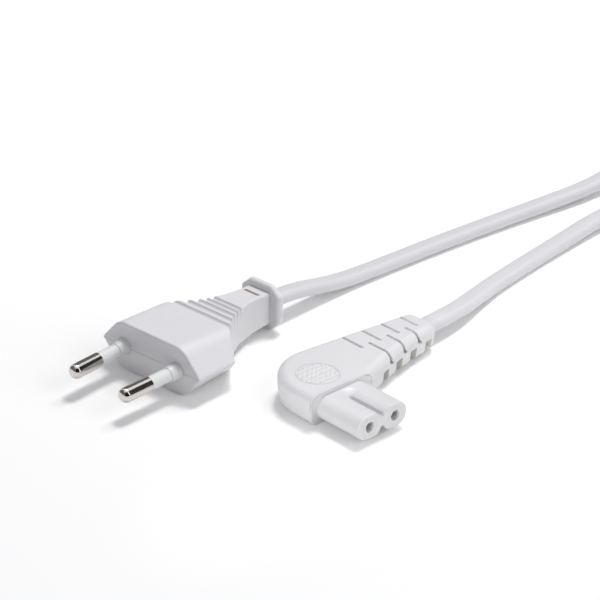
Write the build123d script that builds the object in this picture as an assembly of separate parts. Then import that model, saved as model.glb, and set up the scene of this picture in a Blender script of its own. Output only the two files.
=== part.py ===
from build123d import *
import math
import os

os.makedirs("parts", exist_ok=True)

# A two-pin mains lead: flat plug, right-angled figure-eight connector and flat cord.
# Millimetres, +Z up from the floor, +X rearward along the plug.

# Plug body, a flat six-sided block that narrows into a ribbed neck
plug_width = 35.2
plug_flat = 23.1
plug_height = 13.7
plug_corner_round = 6.0
plug_tip_round = 0.6
plug_edge_round = 0.5
tip_run = 12.9
neck_start = 36.0
neck_end = 40.1
neck_width = 7.5
neck_height = 8.9
neck_edge_round = 0.4

# Grip grooves across the top and underside of the neck
groove_count = 5
groove_first = 18.2
groove_pitch = 2.75
groove_closing = 0.88
groove_depth = 0.7
groove_round = 1.0
groove_bite = 0.5
groove_fade = 4.2

# Window across the neck and the eight-sided flange at its rear
window_place = 37.1
window_long = 5.3
window_wide = 1.0
window_deep = 1.5
flange_width = 13.6
flange_height = 12.8
flange_thick = 2.2
flange_cut_across = 3.0
flange_cut_up = 2.7
flange_round = 0.9

# Pins, sleeves and the bridge that holds them
pin_spread = 18.86
pin_lean = 1.66
pin_length = 19.0
pin_metal = 9.35
pin_diameter = 4.0
pin_tip_round = 1.5
shank_diameter = 3.0
sleeve_diameter = 3.66
sleeve_hold = 4.0
collar_length = 3.3
collar_tip_diameter = 4.0
collar_root_diameter = 4.4
front_wall = 1.6
bridge_long = 7.4
bridge_wide = 26.0
bridge_tall = 6.6
bridge_round = 1.0
crimp_diameter = 3.4
crimp_long = 6.0
crimp_sink = 0.4

# Wire cores, the same at both ends
core_diameter = 2.3
strand_diameter = 1.1
strand_hold = 4.0
core_gap = 0.2
core_lead = 1.4
core_bend = 3.0

# Flat cord
cord_wide = 5.6
cord_thick = 3.5
cord_plug_start = 31.5
core_run = 3.0

# Connector nose, a flat oval notched above and below into a figure of eight
hole_spread = 8.6
hole_height = 4.5
nose_wide = 16.7
nose_tall = 6.6
nose_length = 14.7
nose_round = 0.4
web_height = 2.5
notch_flank = 3.3
notch_half = 3.5
notch_lift = 0.1
notch_head = 11.2
hole_diameter = 2.8
hole_lip = 1.2
contact_bore = 2.44
contact_diameter = 3.2
contact_bore_long = 10.5
plate_sink = 0.8
plate_thick = 3.0
plate_wide = 17.0
plate_tall = 7.0
contact_crimp_diameter = 2.8
contact_crimp_long = 4.2
contact_strand_hold = 2.6

# Connector body, a rounded heel that runs on into a strain relief at a right angle to the nose
body_height = 9.25
body_end_height = 7.6
body_left = 10.2
body_right = 10.4
body_draft = 8.0
body_top_round = 2.3
body_bottom_round = 2.6
corner_radius = 13.7
corner_y = 22.0
wall_x = 21.0
wall_y = 18.5
relief_axis = 27.7
relief_end = 41.8
relief_front = 22.3
relief_rear = 33.0
relief_corner_round = 3.2
lift_start = 17.0
relief_lift = 1.5

# Slits of the strain relief, from above and below on alternate sides
slit_first = 17.3
slit_pitch = 3.22
slit_tail = 5.0
slit_wide = 0.7
slit_round = 0.34
slit_mouth = 1.6
slit_mouth_drop = 0.6533
slit_notch = 2.7
slit_floor = 0.5
notch_roof = 0.1
slit_rear_end = 26.0
slit_front_end = 26.6
slit_core_wide = 7.0
slit_core_tall = 4.6

# Round grip pad of small studs on top of the connector
pad_x = -0.83
pad_y = 22.44
pad_radius = 5.3
pad_rim = 0.35
pad_rim_high = 0.15
stud_pitch = 1.65
stud_rows = 6
stud_base = 1.1
stud_top = 0.5
stud_high = 0.3
stud_margin = 0.3

# Places of the plug and the connector on the floor
plug_x = -22.21
plug_y = 22.41
connector_x = -2.91
connector_y = -39.19
connector_turn = -4.5

# Route of the cord from the plug to the coil, beyond the straight exit
plug_route = [
    (46.1, 21.6, 2.4),
    (62.7, 20.1, 1.75),
    (85.7, 17.4, 1.75),
    (109.7, 13.8, 1.75),
    (150.7, 5.6, 2.0),
]
plug_exit_run = 8.0

# Route of the cord from the connector to the coil, beyond the straight exit
connector_route = [
    (69.3, -10.2, 1.9),
    (86.7, -8.3, 1.75),
    (104.7, -7.1, 1.75),
    (138.7, -5.7, 2.4),
]
connector_cord_start = 31.0
connector_exit_run = 20.0

# Coil of the cord's spare length, wound on edge in two layers and tied once
coil_x = 194.71
coil_y = -15.98
coil_turn_radius = 37.5
coil_radial_pitch = 3.55
coil_layer_turns = 3.85
coil_round = 1.5
tie_wide = 7.0
tie_thick = 0.8
tie_angle = -20.0

plug_mid = plug_height / 2
plug_place = Pos(plug_x, plug_y, plug_mid)
connector_place = Pos(connector_x, connector_y, hole_height) * Rot(0, 0, connector_turn)


def rod(x0, x1, diameter):
    """Round bar along X between two places."""
    return Pos((x0 + x1) / 2, 0, 0) * Rot(0, 90, 0) * Cylinder(diameter / 2, x1 - x0)


def post(y0, y1, diameter):
    """Round bar along Y between two places."""
    return Pos(0, (y0 + y1) / 2, 0) * Rot(90, 0, 0) * Cylinder(diameter / 2, y1 - y0)


def bend_radii(points):
    """Bend radius at each inner corner of a route."""
    radii = []
    for before, corner, after in zip(points, points[1:], points[2:]):
        run_in = Vector(corner) - Vector(before)
        run_out = Vector(after) - Vector(corner)
        turn = math.radians(run_in.get_angle(run_out))
        radii.append(0.45 * min(run_in.length, run_out.length) / math.tan(turn / 2))
    return radii


def flat_cord(points):
    """Flat cord swept along a route, broad side level."""
    radii = bend_radii(points)
    path = FilletPolyline(*points, radius=radii)
    start = Plane(origin=points[0], z_dir=path % 0, x_dir=(path % 0).cross(Vector(0, 0, 1)))
    section = start * SlotOverall(cord_wide, cord_thick)
    tube = sweep(section, path=path)
    return tube, path, radii


def wire(points, diameter):
    """Round wire swept along a bent route."""
    path = FilletPolyline(*points, radius=core_bend)
    section = Plane(origin=points[0], z_dir=path % 0) * Circle(diameter / 2)
    return sweep(section, path=path)


def plug_section(x, half_height):
    """Six-sided section of the plug block at a distance behind its face."""
    outline = Polyline(
        (plug_width / 2, 0),
        (plug_flat / 2, half_height),
        (-plug_flat / 2, half_height),
        (-plug_width / 2, 0),
        (-plug_flat / 2, -half_height),
        (plug_flat / 2, -half_height),
        close=True,
    )
    face = Plane.YZ.offset(x) * make_face(outline)
    flats = [v for v in face.vertices() if abs(v.Z) >= 0.01]
    face = fillet(flats, plug_corner_round)
    tips = [v for v in face.vertices() if abs(v.Z) < 0.01]
    return fillet(tips, plug_tip_round)


def top_at(x):
    """Half height of the plug at a distance behind its face."""
    return plug_height / 2 - (plug_height - neck_height) / 2 * x / neck_end


# Plug block: tapered six-sided bar, trimmed in plan to side tips, a hollow curve and a neck
block = loft([plug_section(0, plug_height / 2), plug_section(neck_end, neck_height / 2)], ruled=True)
plan_sides = []
for side in (1, -1):
    tip = (tip_run, side * plug_width / 2)
    throat = (neck_start, side * neck_width / 2)
    plan_sides.append(Line((0, side * plug_width / 2), tip))
    plan_sides.append(TangentArc(throat, tip, tangent=(-1, 0)))
    plan_sides.append(Line(throat, (neck_end, side * neck_width / 2)))
plan_sides.append(Line((0, -plug_width / 2), (0, plug_width / 2)))
plan_sides.append(Line((neck_end, -neck_width / 2), (neck_end, neck_width / 2)))
plan = extrude(make_face(plan_sides), plug_height, both=True)
plug_body = block & plan
shoulder = []
for edge in plug_body.edges():
    middle = edge.center()
    beside = abs(middle.Y) > neck_width / 2 - 0.1
    if tip_run < middle.X < neck_end - 0.1 and beside and abs(middle.Z) > 0.5:
        shoulder.append(edge)
plug_body = fillet(shoulder, neck_edge_round)
front_edges = plug_body.faces().sort_by(Axis.X)[0].edges()
plug_body = fillet(front_edges, plug_edge_round)

# Grip grooves, each closer to the last than the one before, fading out down the flanks
groove_x = groove_first
groove_step = groove_pitch
throat_run = neck_start - tip_run
throat_side = (plug_width - neck_width) / 2
throat_radius = (throat_run**2 + throat_side**2) / (2 * throat_side)
fade_lean = math.degrees(math.atan(groove_bite / groove_fade))
for number in range(groove_count):
    lift = top_at(groove_x) + groove_round - groove_depth
    run = neck_start - groove_x
    hollow = math.sqrt(throat_radius**2 - run**2)
    flank = neck_width / 2 + throat_radius - hollow
    facing = math.degrees(math.atan2(hollow, run))
    for side in (1, -1):
        plug_body -= Pos(groove_x, 0, side * lift) * Rot(90, 0, 0) * Cylinder(groove_round, plug_width)
        fade = Pos(groove_round - groove_bite, 0, 0) * Cylinder(groove_round, groove_fade * 2)
        turned = Rot(0, 0, side * facing) * Rot(0, -fade_lean, 0) * fade
        plug_body -= Pos(groove_x, side * flank, top_at(groove_x)) * turned
    groove_x += groove_step
    groove_step *= groove_closing

# Window through the skin of the neck, above and below
for side in (1, -1):
    depth_mid = side * (top_at(window_place) - window_deep / 2 + 0.5)
    slot = extrude(SlotOverall(window_long, window_wide, rotation=90), window_deep / 2 + 0.5, both=True)
    plug_body -= Pos(window_place, 0, depth_mid) * slot

# Flange
flange_outline = Polyline(
    (flange_width / 2, flange_height / 2 - flange_cut_up),
    (flange_width / 2 - flange_cut_across, flange_height / 2),
    (-flange_width / 2 + flange_cut_across, flange_height / 2),
    (-flange_width / 2, flange_height / 2 - flange_cut_up),
    (-flange_width / 2, -flange_height / 2 + flange_cut_up),
    (-flange_width / 2 + flange_cut_across, -flange_height / 2),
    (flange_width / 2 - flange_cut_across, -flange_height / 2),
    (flange_width / 2, -flange_height / 2 + flange_cut_up),
    close=True,
)
flange = extrude(Plane.YZ.offset(neck_end) * make_face(flange_outline), flange_thick)
flange = fillet(flange.edges(), flange_round)
flange_rear = neck_end + flange_thick
neck_stub = extrude(Plane.YZ.offset(neck_end - 0.5) * Rectangle(neck_width - 2, neck_height - 2), flange_thick)
plug_body = plug_body + neck_stub + flange

# Pins and sleeves
sleeve_front = pin_metal - pin_length
bridge_rear = front_wall + bridge_long
crimp_front = bridge_rear - crimp_sink
crimp_rear = crimp_front + crimp_long
pin_tip = fillet(rod(-pin_length, sleeve_front, pin_diameter).edges().sort_by(Axis.X)[0], pin_tip_round)
pin = pin_tip + rod(sleeve_front, crimp_front, shank_diameter)
pin += rod(crimp_front, crimp_rear, crimp_diameter)
pin -= rod(crimp_rear - strand_hold, crimp_rear, strand_diameter)
sleeve_rear = front_wall + sleeve_hold
sleeve = rod(sleeve_front, sleeve_rear, sleeve_diameter) - rod(sleeve_front, sleeve_rear, shank_diameter)
collar_cone = Rot(0, 90, 0) * Cone(collar_tip_diameter / 2, collar_root_diameter / 2, collar_length)
collar = Pos(-collar_length / 2, 0, 0) * collar_cone
collar += rod(0, front_wall + bridge_round, collar_root_diameter)
pin_places = {}
for name, side in (("left", 1), ("right", -1)):
    pin_places[name] = plug_place * Pos(0, side * pin_spread / 2, 0) * Rot(0, 0, side * pin_lean)
bridge = Pos(front_wall + bridge_long / 2, 0, 0) * Box(bridge_long, bridge_wide, bridge_tall)
bridge = plug_place * fillet(bridge.edges().filter_by(Axis.X), bridge_round)
carrier_shape = bridge
for place in pin_places.values():
    carrier_shape += place * collar
pin_carrier = carrier_shape
for place in pin_places.values():
    pin_carrier -= place * rod(-pin_length, sleeve_rear, sleeve_diameter)
    pin_carrier -= place * rod(-pin_length, crimp_front, shank_diameter)
    pin_carrier -= place * rod(crimp_front, crimp_rear, crimp_diameter)
pins = {}
sleeves = {}
for name, place in pin_places.items():
    pins[name] = place * pin
    sleeves[name] = place * sleeve

# Cord between the plug and the coil
plug_points = [
    (plug_x + cord_plug_start, plug_y, plug_mid),
    (plug_x + flange_rear + plug_exit_run, plug_y, plug_mid),
] + plug_route


def coil_entry(corner, side, height):
    """Point where a straight run from a corner first reaches the coil's outside, touching its last turn."""
    reach_x = coil_x - corner[0]
    reach_y = coil_y - corner[1]
    reach = math.hypot(reach_x, reach_y)
    heading = math.atan2(reach_y, reach_x) + side * math.asin(coil_turn_radius / reach)
    whole = math.sqrt(reach**2 - coil_turn_radius**2)
    outside = coil_turn_radius + cord_thick / 2
    short = math.sqrt(outside**2 - coil_turn_radius**2)
    run = whole - short + cord_thick
    return (corner[0] + run * math.cos(heading), corner[1] + run * math.sin(heading), height)


coil_bottom = tie_thick
plug_points.append(coil_entry(plug_route[-1], 1, coil_bottom + cord_wide / 2))
cord_plug_lead, plug_path, plug_radii = flat_cord(plug_points)

# Cord between the connector and the coil
start_flat = connector_place * Pos(connector_cord_start, relief_axis, 0)
exit_flat = connector_place * Pos(connector_cord_start + connector_exit_run, relief_axis, 0)
connector_points = [tuple(start_flat.position), tuple(exit_flat.position)] + connector_route
connector_points.append(coil_entry(connector_route[-1], -1, coil_bottom + cord_wide * 1.5))
cord_connector_lead, connector_path, connector_radii = flat_cord(connector_points)

# Coil, the outer shape of the wound turns, and the tie round it
coil_outer = coil_turn_radius + cord_thick / 2
coil_inner = coil_turn_radius - coil_layer_turns * coil_radial_pitch - cord_thick / 2
coil_tall = cord_wide * 2
ring = Cylinder(coil_outer, coil_tall) - Cylinder(coil_inner, coil_tall)
ring = fillet(ring.edges().filter_by(GeomType.CIRCLE), coil_round)
cord_coil = Pos(coil_x, coil_y, coil_bottom + coil_tall / 2) * ring
band_mid = (coil_outer + coil_inner) / 2
band_long = coil_outer - coil_inner + tie_thick * 2
band_tall = coil_tall + tie_thick * 2
band = Pos(band_mid, 0, band_tall / 2) * Box(band_long, tie_wide, band_tall)
band = fillet(band.edges().filter_by(Axis.Y), coil_round)
coil_tie = Pos(coil_x, coil_y, 0) * Rot(0, 0, tie_angle) * band - cord_coil
cord_plug_lead = (cord_plug_lead - cord_coil).solids().sort_by(SortBy.VOLUME)[-1]
cord_connector_lead = (cord_connector_lead - cord_coil).solids().sort_by(SortBy.VOLUME)[-1]

# Cores of the plug, from the crimped pin ends to the end of the cord
lean = math.radians(pin_lean)
plug_cores = {}
plug_strands = {}
plug_covers = {}
for name, side in (("left", 1), ("right", -1)):
    def on_axis(run):
        across = pin_spread / 2 + run * math.sin(lean)
        return (plug_x + run * math.cos(lean), plug_y + side * across, plug_mid)
    cord_side = plug_y + side * (core_diameter + core_gap) / 2
    turn_in = (plug_x + cord_plug_start - core_run, cord_side, plug_mid)
    cord_end = (plug_x + cord_plug_start, cord_side, plug_mid)
    corner = on_axis(crimp_rear + core_lead)
    plug_strands[name] = wire([on_axis(crimp_rear - strand_hold), corner, turn_in, cord_end], strand_diameter)
    plug_covers[name] = wire([on_axis(crimp_rear), corner, turn_in, cord_end], core_diameter)
    plug_cores[name] = plug_covers[name] - plug_strands[name]

# Plug body moulded round its inner pieces
plug_body = plug_place * plug_body
plug_fill = [carrier_shape, cord_plug_lead]
for name, place in pin_places.items():
    plug_fill.append(place * rod(crimp_front, crimp_rear, crimp_diameter))
    plug_fill.append(plug_covers[name])
for piece in plug_fill:
    plug_body = plug_body - piece

# Connector nose and the plate behind it, one hard moulding
nose_rear = nose_length + plate_sink
oval = Plane.XZ * SlotOverall(nose_wide, nose_tall)
nose = extrude(oval, nose_rear, dir=(0, 1, 0))
nose = fillet(nose.faces().sort_by(Axis.Y)[0].edges(), nose_round)
notch_tall = nose_tall / 2 + 1 - web_height / 2
notch = Pos(0, web_height / 2 + notch_tall / 2) * Rectangle(notch_half * 2, notch_tall)
for side in (1, -1):
    notch -= Pos(side * notch_half, notch_lift) * Circle(notch_flank)
half_notch = notch & Pos(notch_half, 0) * Rectangle(notch_half * 2, nose_tall * 4)
notch_cut = extrude(Plane.XZ.offset(1) * notch, notch_head + 1, dir=(0, 1, 0))
head_axis = Axis((0, notch_head, 0), (0, 0, 1))
notch_cut += revolve(Plane.XZ.offset(-notch_head) * half_notch, axis=head_axis)
nose = nose - notch_cut - mirror(notch_cut, about=Plane.XY)
plate_rear = nose_rear + plate_thick
plate = Pos(0, nose_rear + plate_thick / 2, 0) * Box(plate_wide, plate_thick, plate_tall)
plate = fillet(plate.edges().filter_by(Axis.Y), bridge_round)
insert_shape = nose + plate
insert = insert_shape

# Contacts, tubes open at the front with a crimped tail
contact_rear = plate_rear + contact_crimp_long
contact = post(hole_lip, plate_rear, contact_diameter)
contact += post(plate_rear, contact_rear, contact_crimp_diameter)
contact -= post(hole_lip, hole_lip + contact_bore_long, contact_bore)
contact -= post(contact_rear - contact_strand_hold, contact_rear, strand_diameter)
contacts = {}
for name, side in (("left", -1), ("right", 1)):
    shift = Pos(side * hole_spread / 2, 0, 0)
    insert -= shift * post(-1, hole_lip, hole_diameter)
    insert -= shift * post(hole_lip, plate_rear, contact_diameter)
    contacts[name] = connector_place * shift * contact
connector_insert = connector_place * insert

# Cores of the connector, turned from the contacts into the strain relief
connector_cores = {}
connector_strands = {}
connector_covers = {}
for name, side in (("left", -1), ("right", 1)):
    across = side * hole_spread / 2
    along = relief_axis - side * (core_diameter + core_gap) / 2
    tail = contact_rear - contact_strand_hold
    local_points = [(across, tail, 0), (across, along, 0), (connector_cord_start, along, 0)]
    strand_points = [tuple((connector_place * Pos(*p)).position) for p in local_points]
    local_points[0] = (across, contact_rear, 0)
    cover_points = [tuple((connector_place * Pos(*p)).position) for p in local_points]
    connector_strands[name] = wire(strand_points, strand_diameter)
    connector_covers[name] = wire(cover_points, core_diameter)
    connector_cores[name] = connector_covers[name] - connector_strands[name]

# Connector block, in plan a round heel, the nose face in front and two tapering flanks
corner_x = corner_radius - body_left
end_x = relief_end - corner_x
end_y = relief_rear - corner_y
rear_turn = math.atan2(end_y, end_x) + math.acos(corner_radius / math.hypot(end_x, end_y))
rear_point = (corner_x + corner_radius * math.cos(rear_turn), corner_y + corner_radius * math.sin(rear_turn))
block_edges = [
    Line((-body_left, nose_length), (body_right, nose_length)),
    ThreePointArc((body_right, nose_length), (wall_x, wall_y), (relief_end, relief_front)),
    Line((relief_end, relief_front), (relief_end, relief_rear)),
    Line((relief_end, relief_rear), rear_point),
    TangentArc((-body_left, corner_y), rear_point, tangent=(0, 1)),
    Line((-body_left, corner_y), (-body_left, nose_length)),
]
block_plan = make_face(block_edges)
block_plan = fillet([v for v in block_plan.vertices() if v.X > relief_end - 0.1], relief_corner_round)
body = extrude(block_plan, body_height - hole_height)
body += extrude(block_plan, hole_height, dir=(0, 0, -1), taper=body_draft)
top_fall = (body_height - body_end_height) / (relief_end + body_left)
top_plane = Plane(
    origin=(-body_left, 0, body_height - hole_height),
    x_dir=(1, 0, -top_fall),
    z_dir=(top_fall, 0, 1),
)
body -= extrude(top_plane * Pos(relief_end / 2, relief_axis) * Rectangle(relief_end * 3, relief_end * 2), body_height)
top_edges = body.faces().sort_by(Axis.Z)[-1].edges()
body = fillet([e for e in top_edges if e.center().Y > nose_length + 0.1], body_top_round)
bottom_edges = body.faces().sort_by(Axis.Z)[0].edges()
body = fillet([e for e in bottom_edges if e.center().Y > nose_length + 1], body_bottom_round)

# Underside of the strain relief, rising towards the cord
lift_run = relief_end - lift_start
under = Polyline(
    (lift_start, -hole_height),
    (relief_end + lift_run, relief_lift * 2 - hole_height),
    (relief_end + lift_run, -body_height),
    (lift_start, -body_height),
    close=True,
)
body -= extrude(Plane.XZ * make_face(under), relief_axis * 2, dir=(0, 1, 0))

# Strain relief, slit from above and notched from below on alternate sides of a core
relief_core = Pos(0, relief_axis, 0) * Box(relief_end * 3, slit_core_wide, slit_core_tall)
slit_out = relief_axis + corner_radius
slit_count = int((relief_end - slit_tail - slit_first) / slit_pitch) + 1
slit_last = slit_first + (slit_count - 1) * slit_pitch + slit_wide / 2
mouth_top = body_height - hole_height - top_fall * (slit_last + body_left) - slit_mouth_drop
slit_tips = []
for number in range(slit_count):
    slit_x = slit_first + number * slit_pitch
    slit_mid = slit_x + slit_wide / 2
    outward, slit_inner, notch_inner = 1, slit_rear_end, slit_front_end
    if number % 2:
        outward, slit_inner, notch_inner = -1, slit_front_end, slit_rear_end
    flare = [
        Line((slit_x, body_height), (slit_x, slit_floor)),
        Line((slit_x, slit_floor), (slit_x + slit_mouth, slit_floor)),
        TangentArc((slit_x + slit_wide, mouth_top), (slit_x + slit_mouth, slit_floor), tangent=(0, -1)),
        Line((slit_x + slit_wide, mouth_top), (slit_x + slit_wide, body_height)),
        Line((slit_x + slit_wide, body_height), (slit_x, body_height)),
    ]
    core_side = relief_axis + outward * slit_core_wide / 2
    slit = extrude(Plane.XZ.offset(-core_side) * make_face(flare), slit_out, dir=(0, outward, 0))
    slot = Pos(slit_mid, slit_inner + outward * slit_out / 2) * Rectangle(slit_wide, slit_out)
    slot += Pos(slit_mid, slit_inner) * Circle(slit_wide / 2)
    slit += extrude(Pos(0, 0, slit_core_tall / 2) * slot, body_height)
    notch_outline = Polyline(
        (slit_x, -notch_roof),
        (slit_x + slit_notch, -notch_roof),
        (slit_x + slit_notch, -body_height),
        (slit_x, -body_height),
        close=True,
    )
    notch_face = Plane.XZ.offset(-notch_inner) * make_face(notch_outline)
    pocket = extrude(notch_face, slit_out, dir=(0, -outward, 0)) - relief_core
    body = body - slit - pocket
    slit_top = body_height - hole_height - top_fall * (slit_mid + body_left)
    slit_tips.append((slit_mid, slit_inner - outward * slit_wide / 2, slit_top))
for tip in slit_tips:
    body = fillet(body.edges().sort_by_distance(tip)[0], slit_round)

# Grip pad, a rim round rows of studs
pad_drop = top_fall * (pad_x + body_left)
pad_place = Pos(pad_x, pad_y, body_height - hole_height - pad_drop) * Rot(0, math.degrees(math.atan(top_fall)), 0)
rim = Cylinder(pad_radius + pad_rim, pad_rim_high * 2) - Cylinder(pad_radius, pad_rim_high * 2)
studs = [pad_place * rim]
for row in range(stud_rows):
    for column in range(stud_rows):
        stud_x = (column - (stud_rows - 1) / 2) * stud_pitch
        stud_y = (row - (stud_rows - 1) / 2) * stud_pitch
        if math.hypot(stud_x, stud_y) <= pad_radius - stud_margin:
            stud = Cone(stud_base / 2, stud_top / 2, stud_high)
            studs.append(pad_place * Pos(stud_x, stud_y, stud_high / 2) * stud)
body = body + studs

# Connector body moulded round its inner pieces
connector_body = connector_place * body
connector_fill = [connector_place * insert_shape, cord_connector_lead]
for name, side in (("left", -1), ("right", 1)):
    tail_place = connector_place * Pos(side * hole_spread / 2, 0, 0)
    connector_fill.append(tail_place * post(plate_rear, contact_rear, contact_crimp_diameter))
    connector_fill.append(connector_covers[name])
for piece in connector_fill:
    connector_body = connector_body - piece

nodes = {
    "plug_body": plug_body,
    "pin_carrier": pin_carrier,
    "pin_left": pins["left"],
    "pin_right": pins["right"],
    "pin_sleeve_left": sleeves["left"],
    "pin_sleeve_right": sleeves["right"],
    "plug_core_left": plug_cores["left"],
    "plug_core_right": plug_cores["right"],
    "plug_strands_left": plug_strands["left"],
    "plug_strands_right": plug_strands["right"],
    "connector_body": connector_body,
    "connector_insert": connector_insert,
    "contact_left": contacts["left"],
    "contact_right": contacts["right"],
    "connector_core_left": connector_cores["left"],
    "connector_core_right": connector_cores["right"],
    "connector_strands_left": connector_strands["left"],
    "connector_strands_right": connector_strands["right"],
    "cord_plug_lead": cord_plug_lead,
    "cord_coil": cord_coil,
    "cord_connector_lead": cord_connector_lead,
    "coil_tie": coil_tie,
}
for name, shape in nodes.items():
    export_step(shape, "parts/" + name + ".step")

cord_section = (cord_wide - cord_thick) * cord_thick + math.pi * cord_thick**2 / 4
print("plug lead radii", [round(r, 1) for r in plug_radii], "length", round(plug_path.length, 1))
print("plug lead volume", round(cord_plug_lead.volume, 1), "of", round(plug_path.length * cord_section, 1))
print("connector lead radii", [round(r, 1) for r in connector_radii], "length", round(connector_path.length, 1))
print("connector lead volume", round(cord_connector_lead.volume, 1))
print("of", round(connector_path.length * cord_section, 1))
coil_mean = coil_turn_radius - coil_layer_turns * coil_radial_pitch / 2
print("coil length", round(2 * math.pi * coil_mean * coil_layer_turns * 2, 1), "across", round(2 * coil_mean, 1))
boxes = []
for name, shape in nodes.items():
    if name.startswith(("plug", "pin", "con")):
        boxes.append(shape.bounding_box())
low_x = min(b.min.X for b in boxes)
high_x = max(b.max.X for b in boxes)
low_y = min(b.min.Y for b in boxes)
high_y = max(b.max.Y for b in boxes)
low_z = min(b.min.Z for b in boxes)
high_z = max(b.max.Z for b in boxes)
print("plug and connector", [round(v, 3) for v in (low_x, high_x, low_y, high_y, low_z, high_z)])
print("middle", round((low_x + high_x) / 2, 3), round((low_y + high_y) / 2, 3))
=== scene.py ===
import math

import bmesh
import bpy
from mathutils import Matrix, Vector


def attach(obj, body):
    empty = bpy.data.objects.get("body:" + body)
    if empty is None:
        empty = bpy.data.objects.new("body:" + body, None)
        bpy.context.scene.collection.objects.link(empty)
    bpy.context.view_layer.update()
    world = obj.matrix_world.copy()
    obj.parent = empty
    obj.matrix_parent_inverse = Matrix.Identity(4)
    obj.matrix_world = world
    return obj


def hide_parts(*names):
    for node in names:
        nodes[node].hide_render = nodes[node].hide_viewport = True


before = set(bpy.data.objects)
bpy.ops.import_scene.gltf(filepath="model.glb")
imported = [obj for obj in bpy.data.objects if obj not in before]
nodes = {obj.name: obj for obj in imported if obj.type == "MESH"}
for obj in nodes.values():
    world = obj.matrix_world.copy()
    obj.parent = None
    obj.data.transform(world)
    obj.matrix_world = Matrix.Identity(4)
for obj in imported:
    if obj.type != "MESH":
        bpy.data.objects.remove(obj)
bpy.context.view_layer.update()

# Plug body: a flat six-sided moulding with a ribbed neck and an eight-sided flange.
# Soft white PVC, moulded round the pin carrier, the crimps and the end of the cord.
# The mould leaves a parting line on the face and a fine band across the neck.


def added(tree, kind, sockets, **settings):
    """A new shader node, whose sockets take a value or the output of another node."""
    node = tree.nodes.new(kind)
    for name, value in settings.items():
        setattr(node, name, value)
    for name, value in sockets.items():
        if isinstance(value, bpy.types.NodeSocket):
            tree.links.new(value, node.inputs[name])
        else:
            node.inputs[name].default_value = value
    return node


def moulded(name, colour, rough, grain, height, edge):
    """Satin moulded plastic: uneven colour and gloss, a fine spark-eroded grain and soft edges."""
    cloud_scale, cloud_detail, cloud_tone = 140, 3, 0.985
    cloud_low, cloud_high = 0.3, 0.7
    grain_detail, grain_strength, gloss_spread = 4, 0.35, 0.06
    mat = bpy.data.materials.new(name)
    mat.use_nodes = True
    tree = mat.node_tree
    shader = tree.nodes["Principled BSDF"]
    shader.inputs["IOR"].default_value = 1.5
    spot = tree.nodes.new("ShaderNodeTexCoord").outputs["Object"]
    clouds = {"Vector": spot, "Scale": cloud_scale, "Detail": cloud_detail}
    cloud = added(tree, "ShaderNodeTexNoise", clouds)
    tint = added(tree, "ShaderNodeValToRGB", {"Fac": cloud.outputs["Fac"]})
    tint.color_ramp.elements[0].position = cloud_low
    tint.color_ramp.elements[0].color = (*[c * cloud_tone for c in colour], 1)
    tint.color_ramp.elements[1].position = cloud_high
    tint.color_ramp.elements[1].color = (*colour, 1)
    tree.links.new(tint.outputs["Color"], shader.inputs["Base Color"])
    specks = {"Vector": spot, "Scale": grain, "Detail": grain_detail}
    speck = added(tree, "ShaderNodeTexNoise", specks).outputs["Fac"]
    spread = {"Value": speck, "To Min": rough - gloss_spread, "To Max": rough + gloss_spread}
    gloss = added(tree, "ShaderNodeMapRange", spread)
    tree.links.new(gloss.outputs["Result"], shader.inputs["Roughness"])
    soft = added(tree, "ShaderNodeBevel", {"Radius": edge}, samples=4).outputs["Normal"]
    relief = {"Strength": grain_strength, "Distance": height, "Height": speck, "Normal": soft}
    bump = added(tree, "ShaderNodeBump", relief)
    tree.links.new(bump.outputs["Normal"], shader.inputs["Normal"])
    return mat


def worked(tree, operation, first, second=0.0):
    """One step of arithmetic on sockets or numbers."""
    return added(tree, "ShaderNodeMath", {0: first, 1: second}, operation=operation).outputs[0]


def outside(tree, place, middle, half):
    """How far a place is outside a span, and below nought inside it."""
    away = worked(tree, "ABSOLUTE", worked(tree, "SUBTRACT", place, middle))
    return worked(tree, "SUBTRACT", away, half)


def furthest(tree, first, *others):
    """The largest of several values."""
    for other in others:
        first = worked(tree, "MAXIMUM", first, other)
    return first


def placed(mat, spot, turn):
    """The x, y and z of a piece's own frame, which stands at a spot with a turn in degrees."""
    tree = mat.node_tree
    place = tree.nodes.new("ShaderNodeTexCoord").outputs["Object"]
    stand = {"Vector": place, "Location": spot, "Rotation": (0, 0, math.radians(turn))}
    own = added(tree, "ShaderNodeMapping", stand, vector_type="TEXTURE")
    axes = added(tree, "ShaderNodeSeparateXYZ", {"Vector": own.outputs["Vector"]})
    return axes.outputs["X"], axes.outputs["Y"], axes.outputs["Z"]


def scored(mat, away, fade, share, colour=(0.12, 0.12, 0.13, 1)):
    """A shallow groove or recess in a colour of its own where the distance to it is nothing; in
    the relief's notches and slits that colour is painted light.
    """
    groove_depth = 0.0001
    tree = mat.node_tree
    shader = tree.nodes["Principled BSDF"]
    plain = shader.inputs["Base Color"].links[0].from_socket
    even = shader.inputs["Normal"].links[0].from_socket
    span = {"Value": away, "From Max": fade, "To Min": share, "To Max": 0}
    line = added(tree, "ShaderNodeMapRange", span).outputs["Result"]
    mixed = added(tree, "ShaderNodeMix", {0: line, 6: plain, 7: colour}, data_type="RGBA")
    tree.links.new(mixed.outputs[2], shader.inputs["Base Color"])
    sunk = {"Distance": groove_depth, "Height": line, "Normal": even}
    groove = added(tree, "ShaderNodeBump", sunk, invert=True)
    tree.links.new(groove.outputs["Normal"], shader.inputs["Normal"])


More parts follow.
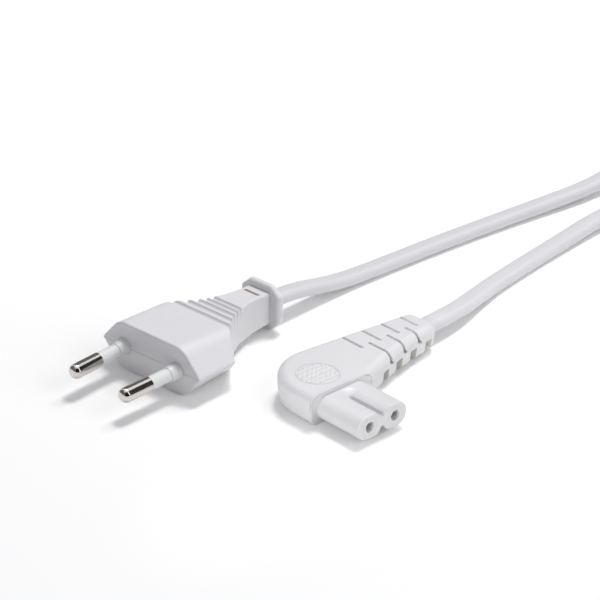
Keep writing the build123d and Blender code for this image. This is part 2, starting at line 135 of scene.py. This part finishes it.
plug_spot = (-0.02221, 0.02241, 0.00685)
plug_white = (0.71, 0.71, 0.723)
line_fade = 0.00014
face_depth = 0.0001
band_along = 0.0352
band_low = 0.004
window_along = 0.0371
window_half_long = 0.00051
window_half_wide = 0.00266
window_half_tall = 0.0043
recess_fade = 0.0001
window_tone = (0.82, 0.72, 0.62, 1)
plug_pvc = moulded(
    "plug_pvc_grain", plug_white, rough=0.42, grain=3200, height=0.00002, edge=0.0004
)
nodes["plug_body"].material_slots[0].material = plug_pvc
tree = plug_pvc.node_tree
x, y, z = placed(plug_pvc, plug_spot, turn=0)
parting = furthest(tree, worked(tree, "ABSOLUTE", z), worked(tree, "SUBTRACT", x, face_depth))
scored(plug_pvc, parting, line_fade, share=0.45)
band = furthest(tree, outside(tree, x, band_along, 0.0), worked(tree, "SUBTRACT", band_low, z))
scored(plug_pvc, band, line_fade, share=0.10)
window = furthest(
    tree,
    outside(tree, x, window_along, window_half_long),
    outside(tree, y, 0.0, window_half_wide),
    outside(tree, z, 0.0, window_half_tall),
)
scored(plug_pvc, window, recess_fade, share=0.8, colour=window_tone)

# Pin carrier: the bridge inside the plug that holds both pins apart.
# Hard plastic in a slightly greener white, moulded round the pins before the plug is.
# Its two collars stand out of the plug's face.
sleeve_white = (0.72, 0.73, 0.72)
sleeve_plastic = moulded(
    "sleeve_plastic_grain", sleeve_white, rough=0.34, grain=4200, height=0.00001, edge=0.0001
)
nodes["pin_carrier"].material_slots[0].material = sleeve_plastic

# Pin sleeves: the insulating tubes over the half of each pin next to the plug.
# The same hard plastic as the carrier, moulded into a turned-down length of the pin.
for name in ("pin_sleeve_left", "pin_sleeve_right"):
    nodes[name].material_slots[0].material = sleeve_plastic

# Pins: two round pins that lean towards each other, with rounded tips.
# Turned brass with bright nickel plating, which shows fine marks round the axis.
# They are crimped to the wires and held by the carrier.


def turned_metal(name, dark, light, smooth, dull, metallic):
    """Metal with fine marks across its long way, in colour and in gloss."""
    marks_stretch, marks_detail = (9000, 300, 300), 3
    mat = bpy.data.materials.new(name)
    mat.use_nodes = True
    tree = mat.node_tree
    shader = tree.nodes["Principled BSDF"]
    shader.inputs["Metallic"].default_value = metallic
    spot = tree.nodes.new("ShaderNodeTexCoord").outputs["Object"]
    stretch = added(tree, "ShaderNodeMapping", {"Vector": spot, "Scale": marks_stretch})
    drawn = {"Vector": stretch.outputs["Vector"], "Scale": 1, "Detail": marks_detail}
    marks = added(tree, "ShaderNodeTexNoise", drawn).outputs["Fac"]
    tone = added(tree, "ShaderNodeValToRGB", {"Fac": marks})
    tone.color_ramp.elements[0].color = dark
    tone.color_ramp.elements[1].color = light
    tree.links.new(tone.outputs["Color"], shader.inputs["Base Color"])
    polish = added(tree, "ShaderNodeMapRange", {"Value": marks, "To Min": smooth, "To Max": dull})
    tree.links.new(polish.outputs["Result"], shader.inputs["Roughness"])
    return mat


nickel_dark = (0.61, 0.575, 0.55, 1)
nickel_light = (0.71, 0.675, 0.65, 1)
nickel = turned_metal(
    "pin_nickel_turned", nickel_dark, nickel_light, smooth=0.09, dull=0.14, metallic=1
)
for name in ("pin_left", "pin_right"):
    nodes[name].material_slots[0].material = nickel

# Wire cores: the two wires at each end of the cord, inside the plug and the connector.
# Coloured PVC insulation, brown on the left and blue on the right.
# It is stripped back to bare copper strands, which sit in the crimps.
core_brown = (0.16, 0.07, 0.035)
core_blue = (0.03, 0.10, 0.34)
copper_dark = (0.48, 0.20, 0.10, 1)
copper_light = (0.66, 0.32, 0.18, 1)
brown = moulded(
    "core_brown_grain", core_brown, rough=0.45, grain=2600, height=0.00001, edge=0.0001
)
blue = moulded("core_blue_grain", core_blue, rough=0.45, grain=2600, height=0.00001, edge=0.0001)
copper = turned_metal(
    "copper_strands", copper_dark, copper_light, smooth=0.09, dull=0.14, metallic=1
)
for end in ("plug", "connector"):
    for side, insulation in (("left", brown), ("right", blue)):
        nodes[end + "_core_" + side].material_slots[0].material = insulation
        nodes[end + "_strands_" + side].material_slots[0].material = copper

# Contacts: two tubes in the connector's nose, open towards the front and dull inside.
# Drawn bronze with tin plating, pressed into the insert and crimped to the wires.
tin_dark = (0.70, 0.66, 0.60, 1)
tin_light = (0.84, 0.80, 0.74, 1)
tin = turned_metal("contact_tin_drawn", tin_dark, tin_light, smooth=0.45, dull=0.60, metallic=0.5)
for name in ("contact_left", "contact_right"):
    nodes[name].material_slots[0].material = tin

# Connector insert: the figure-eight nose and the plate behind it.
# One moulding of hard white plastic that holds both contacts.
# A fine ring runs round each hole in its front.
connector_spot = (-0.00291, -0.03919)
connector_turn = -4.5
hole_height = 0.0045
hole_aside = 0.0043
ring_radius = 0.0023
nose_face_depth = 0.0002
insert_white = (0.665, 0.665, 0.675)
insert_plastic = moulded(
    "insert_plastic_grain", insert_white, rough=0.40, grain=3600, height=0.00001, edge=0.0002
)
nodes["connector_insert"].material_slots[0].material = insert_plastic
tree = insert_plastic.node_tree
x, y, z = placed(insert_plastic, (*connector_spot, hole_height), connector_turn)
aside = worked(tree, "SUBTRACT", worked(tree, "ABSOLUTE", x), hole_aside)
aside_square = worked(tree, "MULTIPLY", aside, aside)
height_square = worked(tree, "MULTIPLY", z, z)
radius = worked(tree, "SQRT", worked(tree, "ADD", aside_square, height_square))
ring = outside(tree, radius, ring_radius, 0.0)
ring_on_face = furthest(tree, ring, worked(tree, "SUBTRACT", y, nose_face_depth))
scored(insert_plastic, ring_on_face, line_fade, share=0.16)

# Connector body: the right-angled shell with a grip pad and a strain relief.
# Soft white PVC, moulded round the insert, the crimps and the end of the cord.
# Slits from above and notches from below let the relief bend; their insides are coloured paler and
# warmer, painted light in place of their shade.
connector_white = (0.68, 0.68, 0.69)
seam_back = 0.01525
relief_middle = 0.02835
relief_half = 0.01115
lane_pitch = 0.00644
front_notch_first = 0.0173
rear_notch_first = 0.02052
notch_half = 0.00135
notch_roof = 0.0044
slit_half = 0.00035
slit_floor = 0.005
core_front = 0.0242
core_rear = 0.0312
front_slit_end = 0.0266
rear_slit_end = 0.0260
# Painted light: the insides of the notches and slits get a pale, warm colour in place of the shade
# that falls in them.
notch_painted_light = (0.97, 0.93, 0.875, 1)
slit_painted_light = (0.97, 0.965, 0.96, 1)
connector_pvc = moulded(
    "connector_pvc_grain", connector_white, rough=0.42, grain=3200, height=0.00002, edge=0.0001
)
nodes["connector_body"].material_slots[0].material = connector_pvc
tree = connector_pvc.node_tree
x, y, z = placed(connector_pvc, (*connector_spot, 0), connector_turn)
scored(connector_pvc, outside(tree, y, seam_back, 0.0), line_fade, share=0.10)
relief = outside(tree, x, relief_middle, relief_half)
under = furthest(tree, relief, worked(tree, "SUBTRACT", z, notch_roof))
above = furthest(tree, relief, worked(tree, "SUBTRACT", slit_floor, z))
before_core = worked(tree, "SUBTRACT", y, core_front)
behind_core = worked(tree, "SUBTRACT", core_rear, y)
in_front_slit = worked(tree, "SUBTRACT", y, front_slit_end)
in_rear_slit = worked(tree, "SUBTRACT", rear_slit_end, y)
# Each lane gets a notch and a slit whose insides carry painted light, paler and warmer than the
# body, in place of their shade.
for first, notch_side, slit_side in (
    (front_notch_first, before_core, in_rear_slit),
    (rear_notch_first, behind_core, in_front_slit),
):
    lane = worked(tree, "FLOORED_MODULO", worked(tree, "SUBTRACT", x, first), lane_pitch)
    notch_lit_mask = furthest(tree, outside(tree, lane, notch_half, notch_half), notch_side, under)
    scored(connector_pvc, notch_lit_mask, recess_fade, share=0.95, colour=notch_painted_light)
    slit_lit_mask = furthest(tree, outside(tree, lane, slit_half, slit_half), slit_side, above)
    scored(connector_pvc, slit_lit_mask, recess_fade, share=0.95, colour=slit_painted_light)

# Front rim: the raised edge of the connector's front.
# It runs from the left wall over the top to the right end.
# The same soft white PVC, moulded in one with the body.
rim_outline = [(-0.0102, 0.0050), (-0.0102, 0.00925), (0.0104, 0.0086), (0.0104, 0.0052)]
rim_front = 0.01455
rim_deep = 0.0006
rim_round = 0.0023
rim_thick = 0.00022


def shown(name, mesh):
    """An object at the origin, made from a finished bmesh."""
    finished = bpy.data.meshes.new(name)
    mesh.to_mesh(finished)
    mesh.free()
    piece = bpy.data.objects.new(name, finished)
    bpy.context.scene.collection.objects.link(piece)
    return piece


mesh = bmesh.new()
corners = [mesh.verts.new((x, rim_front, z)) for x, z in rim_outline]
ribs = [mesh.edges.new(pair) for pair in zip(corners, corners[1:])]
grown = bmesh.ops.extrude_edge_only(mesh, edges=ribs)["geom"]
rear_corners = [v for v in grown if isinstance(v, bmesh.types.BMVert)]
bmesh.ops.translate(mesh, verts=rear_corners, vec=(0, rim_deep, 0))
bmesh.ops.bevel(
    mesh,
    geom=[e for e in mesh.edges if len(e.link_faces) == 2],
    offset=rim_round,
    affect="EDGES",
    offset_type="OFFSET",
    segments=8,
    profile=0.5,
    material=-1,
)
bmesh.ops.recalc_face_normals(mesh, faces=mesh.faces)
bmesh.ops.solidify(mesh, geom=mesh.faces[:], thickness=rim_thick)
bmesh.ops.recalc_face_normals(mesh, faces=mesh.faces)
rim_turn = Matrix.Rotation(math.radians(connector_turn), 3, "Z")
bmesh.ops.rotate(mesh, verts=mesh.verts, matrix=rim_turn)
bmesh.ops.translate(mesh, verts=mesh.verts, vec=(*connector_spot, 0))
rim = shown("connector_front_rim", mesh)
rim.data.materials.append(connector_pvc)
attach(rim, "root")

# Cord: one flat two-core cord from the plug by way of a tied coil to the connector.
# White PVC sheath, extruded round both cores and held by the mouldings at its ends.
# It lies level on the floor in view and is turned on edge where it is wound.
cord_white = (0.66, 0.66, 0.68)
cord_wide = 0.0056
cord_thick = 0.0035
plug_points = [
    (0.00929, 0.02241, 0.00685),
    (0.02809, 0.02241, 0.00685),
    (0.0461, 0.0216, 0.0024),
    (0.0627, 0.0201, 0.00175),
    (0.0857, 0.0174, 0.00175),
    (0.1097, 0.0138, 0.00175),
    (0.1507, 0.0056, 0.0030),
]
connector_points = [
    (0.1387, -0.0057, 0.0030),
    (0.1047, -0.0071, 0.00175),
    (0.0867, -0.0083, 0.00175),
    (0.0693, -0.0102, 0.0019),
    (0.05011, -0.01558, 0.0045),
    (0.03017, -0.01401, 0.0045),
]
coil_centre = Vector((0.19471, -0.01598))
coil_radius = 0.0375
coil_pitch = 0.00355
coil_low = 0.0036
coil_high = 0.0092
coil_whole_turns = 7
coil_points_a_turn = 16
coil_climb_turns = 0.5


def tangent_angle(corner, side):
    """Angle round the coil at which a straight run from a corner touches its outer turn."""
    reach = Vector(corner[:2]) - coil_centre
    return math.atan2(reach.y, reach.x) - side * math.acos(coil_radius / reach.length)


def clamped(share):
    """A share held between nought and one."""
    return min(max(share, 0), 1)


def eased(share):
    """A share that starts and stops gently."""
    return share * share * (3 - 2 * share)


angle_in = tangent_angle(plug_points[-1], 1)
angle_out = tangent_angle(connector_points[0], -1)
sweep_angle = (angle_in - angle_out) % math.tau + coil_whole_turns * math.tau
count = round(sweep_angle / math.tau * coil_points_a_turn)
step = sweep_angle / count
half_turns = sweep_angle / math.tau / 2
corner_share = 0.75 + 0.25 * math.cos(step)
coil_points = []
for i in range(count + 1):
    turns = i * step / math.tau
    lane = half_turns - abs(turns - half_turns)
    radius = (coil_radius - coil_pitch * lane) / corner_share
    rise = eased(clamped((turns - half_turns) / coil_climb_turns + 0.5))
    angle = angle_in - i * step
    x = coil_centre.x + radius * math.cos(angle)
    y = coil_centre.y + radius * math.sin(angle)
    coil_points.append((x, y, coil_low + (coil_high - coil_low) * rise))
route = plug_points + coil_points + connector_points
line = bpy.data.curves.new("cord_line", "CURVE")
line.dimensions = "3D"
line.resolution_u = 6
spline = line.splines.new("NURBS")
spline.points.add(len(route) - 1)
for point, spot in zip(spline.points, route):
    point.co = (*spot, 1)
spline.order_u = 3
spline.use_endpoint_u = True
line_object = bpy.data.objects.new("cord_line", line)
bpy.context.scene.collection.objects.link(line_object)
bpy.context.view_layer.update()
traced = bpy.data.meshes.new_from_object(line_object)
path = [v.co.copy() for v in traced.vertices]
bpy.data.objects.remove(line_object)
bpy.data.curves.remove(line)
bpy.data.meshes.remove(traced)

lengths = [0.0]
for a, b in zip(path, path[1:]):
    lengths.append(lengths[-1] + (b - a).length)
plug_lead = 0.177
connector_lead = 0.150
turn_run = 0.04
cord_sides = 32
profile = []
for i in range(cord_sides):
    a = math.tau * i / cord_sides
    shift = math.copysign((cord_wide - cord_thick) / 2, math.cos(a))
    profile.append((shift + cord_thick / 2 * math.cos(a), cord_thick / 2 * math.sin(a)))
mesh = bmesh.new()
rings = []
for i, spot in enumerate(path):
    ahead = path[min(i + 1, len(path) - 1)] - path[max(i - 1, 0)]
    ahead.normalize()
    level = ahead.cross(Vector((0, 0, 1))).normalized()
    up = level.cross(ahead)
    near = clamped((lengths[i] - plug_lead + turn_run) / turn_run)
    far = clamped((lengths[-1] - connector_lead + turn_run - lengths[i]) / turn_run)
    twist = math.pi / 2 * eased(min(near, far))
    broad = math.cos(twist) * level + math.sin(twist) * up
    thin = math.cos(twist) * up - math.sin(twist) * level
    rings.append([mesh.verts.new(spot + broad * u + thin * v) for u, v in profile])
for first, second in zip(rings, rings[1:]):
    for j in range(cord_sides):
        k = (j + 1) % cord_sides
        mesh.faces.new((first[j], first[k], second[k], second[j]))
mesh.faces.new(rings[0][::-1])
mesh.faces.new(rings[-1])
bmesh.ops.recalc_face_normals(mesh, faces=mesh.faces)
for face in mesh.faces:
    face.smooth = len(face.verts) == 4
cord = shown("cord", mesh)
cord_pvc = moulded(
    "cord_pvc_grain", cord_white, rough=0.40, grain=2800, height=0.000012, edge=0.0001
)
cord.data.materials.append(cord_pvc)
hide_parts("cord_plug_lead", "cord_coil", "cord_connector_lead")
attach(cord, "root")

# Coil tie: the strip that holds the wound cord together.
# Plain white plastic, wound once round the coil and closed on itself.
tie_white = (0.72, 0.72, 0.72)
tie_plastic = moulded(
    "tie_plastic_grain", tie_white, rough=0.5, grain=1800, height=0.00003, edge=0.0002
)
nodes["coil_tie"].material_slots[0].material = tie_plastic

# Floor: a plain studio table covered in matt white paper.
# It is lifted to white for the camera and in reflections, and keeps the shadows.


def seen_directly(tree):
    """One for what is seen directly, in gloss or through glass, and nought for the rest."""
    rays = tree.nodes.new("ShaderNodeLightPath").outputs
    kinds = ("Is Camera Ray", "Is Glossy Ray", "Is Transmission Ray")
    return furthest(tree, *[rays[kind] for kind in kinds])


floor_half = 4
floor_white = (0.9, 0.9, 0.89, 1)
floor_lift = 0.06
mesh = bmesh.new()
bmesh.ops.create_grid(mesh, x_segments=1, y_segments=1, size=floor_half)
floor = shown("floor", mesh)
paper = bpy.data.materials.new("floor_paper")
paper.use_nodes = True
tree = paper.node_tree
shader = tree.nodes["Principled BSDF"]
shader.inputs["Base Color"].default_value = floor_white
shader.inputs["Roughness"].default_value = 0.9
shader.inputs["Specular IOR Level"].default_value = 0
shader.inputs["Emission Color"].default_value = (1, 1, 1, 1)
lift = worked(tree, "MULTIPLY", seen_directly(tree), floor_lift)
tree.links.new(lift, shader.inputs["Emission Strength"])
floor.data.materials.append(paper)

# Flags: black cards and faintly glowing grey ones round the table, seen in gloss alone, for the
# pins to mirror.
# Matt black felt on board, stood upright; the grey of two of them is a glow, a painted reflection.
# The gap between the right and the back one gives the pins their thin bright line.
flag_away = 0.45
flag_lift = 0.01
felt_black = (0.006, 0.006, 0.006, 1)
felt_glow = (1, 0.97, 0.94, 1)


def flag(name, heading, wide, tall, glow_in_gloss):
    """A card that stands at a heading in degrees from the object, black or glowing a faint grey as
    a painted reflection.
    """
    upright = Matrix.Rotation(math.radians(90), 3, "Y")
    turned = Matrix.Rotation(math.radians(heading), 3, "Z")
    mesh = bmesh.new()
    bmesh.ops.create_grid(mesh, x_segments=1, y_segments=1, size=0.5)
    bmesh.ops.scale(mesh, verts=mesh.verts, vec=(tall, wide, 1))
    bmesh.ops.rotate(mesh, verts=mesh.verts, matrix=upright)
    bmesh.ops.translate(mesh, verts=mesh.verts, vec=(flag_away, 0, flag_lift + tall / 2))
    bmesh.ops.rotate(mesh, verts=mesh.verts, matrix=turned)
    card = shown(name, mesh)
    felt = bpy.data.materials.new(name + "_felt")
    felt.use_nodes = True
    shader = felt.node_tree.nodes["Principled BSDF"]
    shader.inputs["Base Color"].default_value = felt_black
    shader.inputs["Roughness"].default_value = 1
    shader.inputs["Emission Color"].default_value = felt_glow
    shader.inputs["Emission Strength"].default_value = glow_in_gloss
    card.data.materials.append(felt)
    card.visible_camera = False
    card.visible_diffuse = False
    card.visible_shadow = False


flag("flag_right", heading=-40, wide=0.54, tall=0.60, glow_in_gloss=0.0)
flag("flag_back", heading=41, wide=0.62, tall=0.60, glow_in_gloss=0.15)
flag("flag_front", heading=-124, wide=0.96, tall=0.90, glow_in_gloss=0.0)
flag("flag_left", heading=140, wide=0.96, tall=0.75, glow_in_gloss=0.15)

# Light: a broad soft key lamp high behind the plug's neck, a small one for its edges,
# a wide fill from the right, and a narrow spot that lifts the connector's walls.
# The surround is an even, slightly cool white, and plain white where it is seen.
surround_level = 0.39
surround_tone = (0.94, 0.935, 1, 1)


def aimed(heading, rise):
    """The way towards a heading and a rise, both in degrees."""
    flat = math.cos(math.radians(rise))
    along = flat * math.cos(math.radians(heading))
    across = flat * math.sin(math.radians(heading))
    return Vector((along, across, math.sin(math.radians(rise))))


def lamp(name, kind, watts, aim, heading, rise, away):
    """A lamp at a heading, a rise and a distance from the spot on the floor that it looks at."""
    towards = aimed(heading, rise)
    stand = bpy.data.objects.new(name, bpy.data.lights.new(name, kind))
    stand.data.energy = watts
    stand.location = Vector((*aim, 0)) + towards * away
    stand.rotation_euler = towards.to_track_quat("Z", "Y").to_euler()
    bpy.context.scene.collection.objects.link(stand)
    return stand


key = lamp("key", "AREA", watts=6.1, aim=(0.03, 0.0), heading=16.8, rise=70, away=1.1)
key.data.shape = "DISK"
key.data.size = 0.3
edge = lamp("edge", "AREA", watts=1.0, aim=(-0.02, 0.02), heading=0.3, rise=49.7, away=0.9)
edge.data.shape = "DISK"
edge.data.size = 0.12
edge.visible_glossy = False
fill = lamp("fill", "AREA", watts=4.6, aim=(0.03, 0.0), heading=-75, rise=32, away=1.2)
fill.data.shape = "DISK"
fill.data.size = 0.9
spot = lamp("spot", "SPOT", watts=8.0, aim=(0.006, -0.024), heading=192, rise=20, away=0.7)
spot.data.shadow_soft_size = 0.012
spot.data.spot_size = math.radians(5.2)
spot.data.spot_blend = 1.0
world = bpy.data.worlds.new("studio")
bpy.context.scene.world = world
world.use_nodes = True
tree = world.node_tree
back = tree.nodes["Background"]
seen = seen_directly(tree)
level = added(tree, "ShaderNodeMapRange", {"Value": seen, "To Min": surround_level, "To Max": 1.0})
tree.links.new(level.outputs["Result"], back.inputs["Strength"])
tones = {0: seen, 6: surround_tone, 7: (1, 1, 1, 1)}
tone = added(tree, "ShaderNodeMix", tones, data_type="RGBA")
tree.links.new(tone.outputs[2], back.inputs["Color"])

# Camera: a long lens at some distance, in front of the pins and a little above them.
# It stands where the photograph was taken from.
camera_aim = Vector((0.03629, 0.02501, 0))
camera_away = 0.8041
scene = bpy.context.scene
scene.view_settings.view_transform = "Standard"
camera_data = bpy.data.cameras.new("camera")
camera_data.sensor_width = 36
camera_data.lens = 180
camera = bpy.data.objects.new("camera", camera_data)
look = aimed(heading=42.92, rise=-27.84)
camera.location = camera_aim - look * camera_away
camera.rotation_euler = look.to_track_quat("-Z", "Y").to_euler()
scene.collection.objects.link(camera)
scene.camera = camera
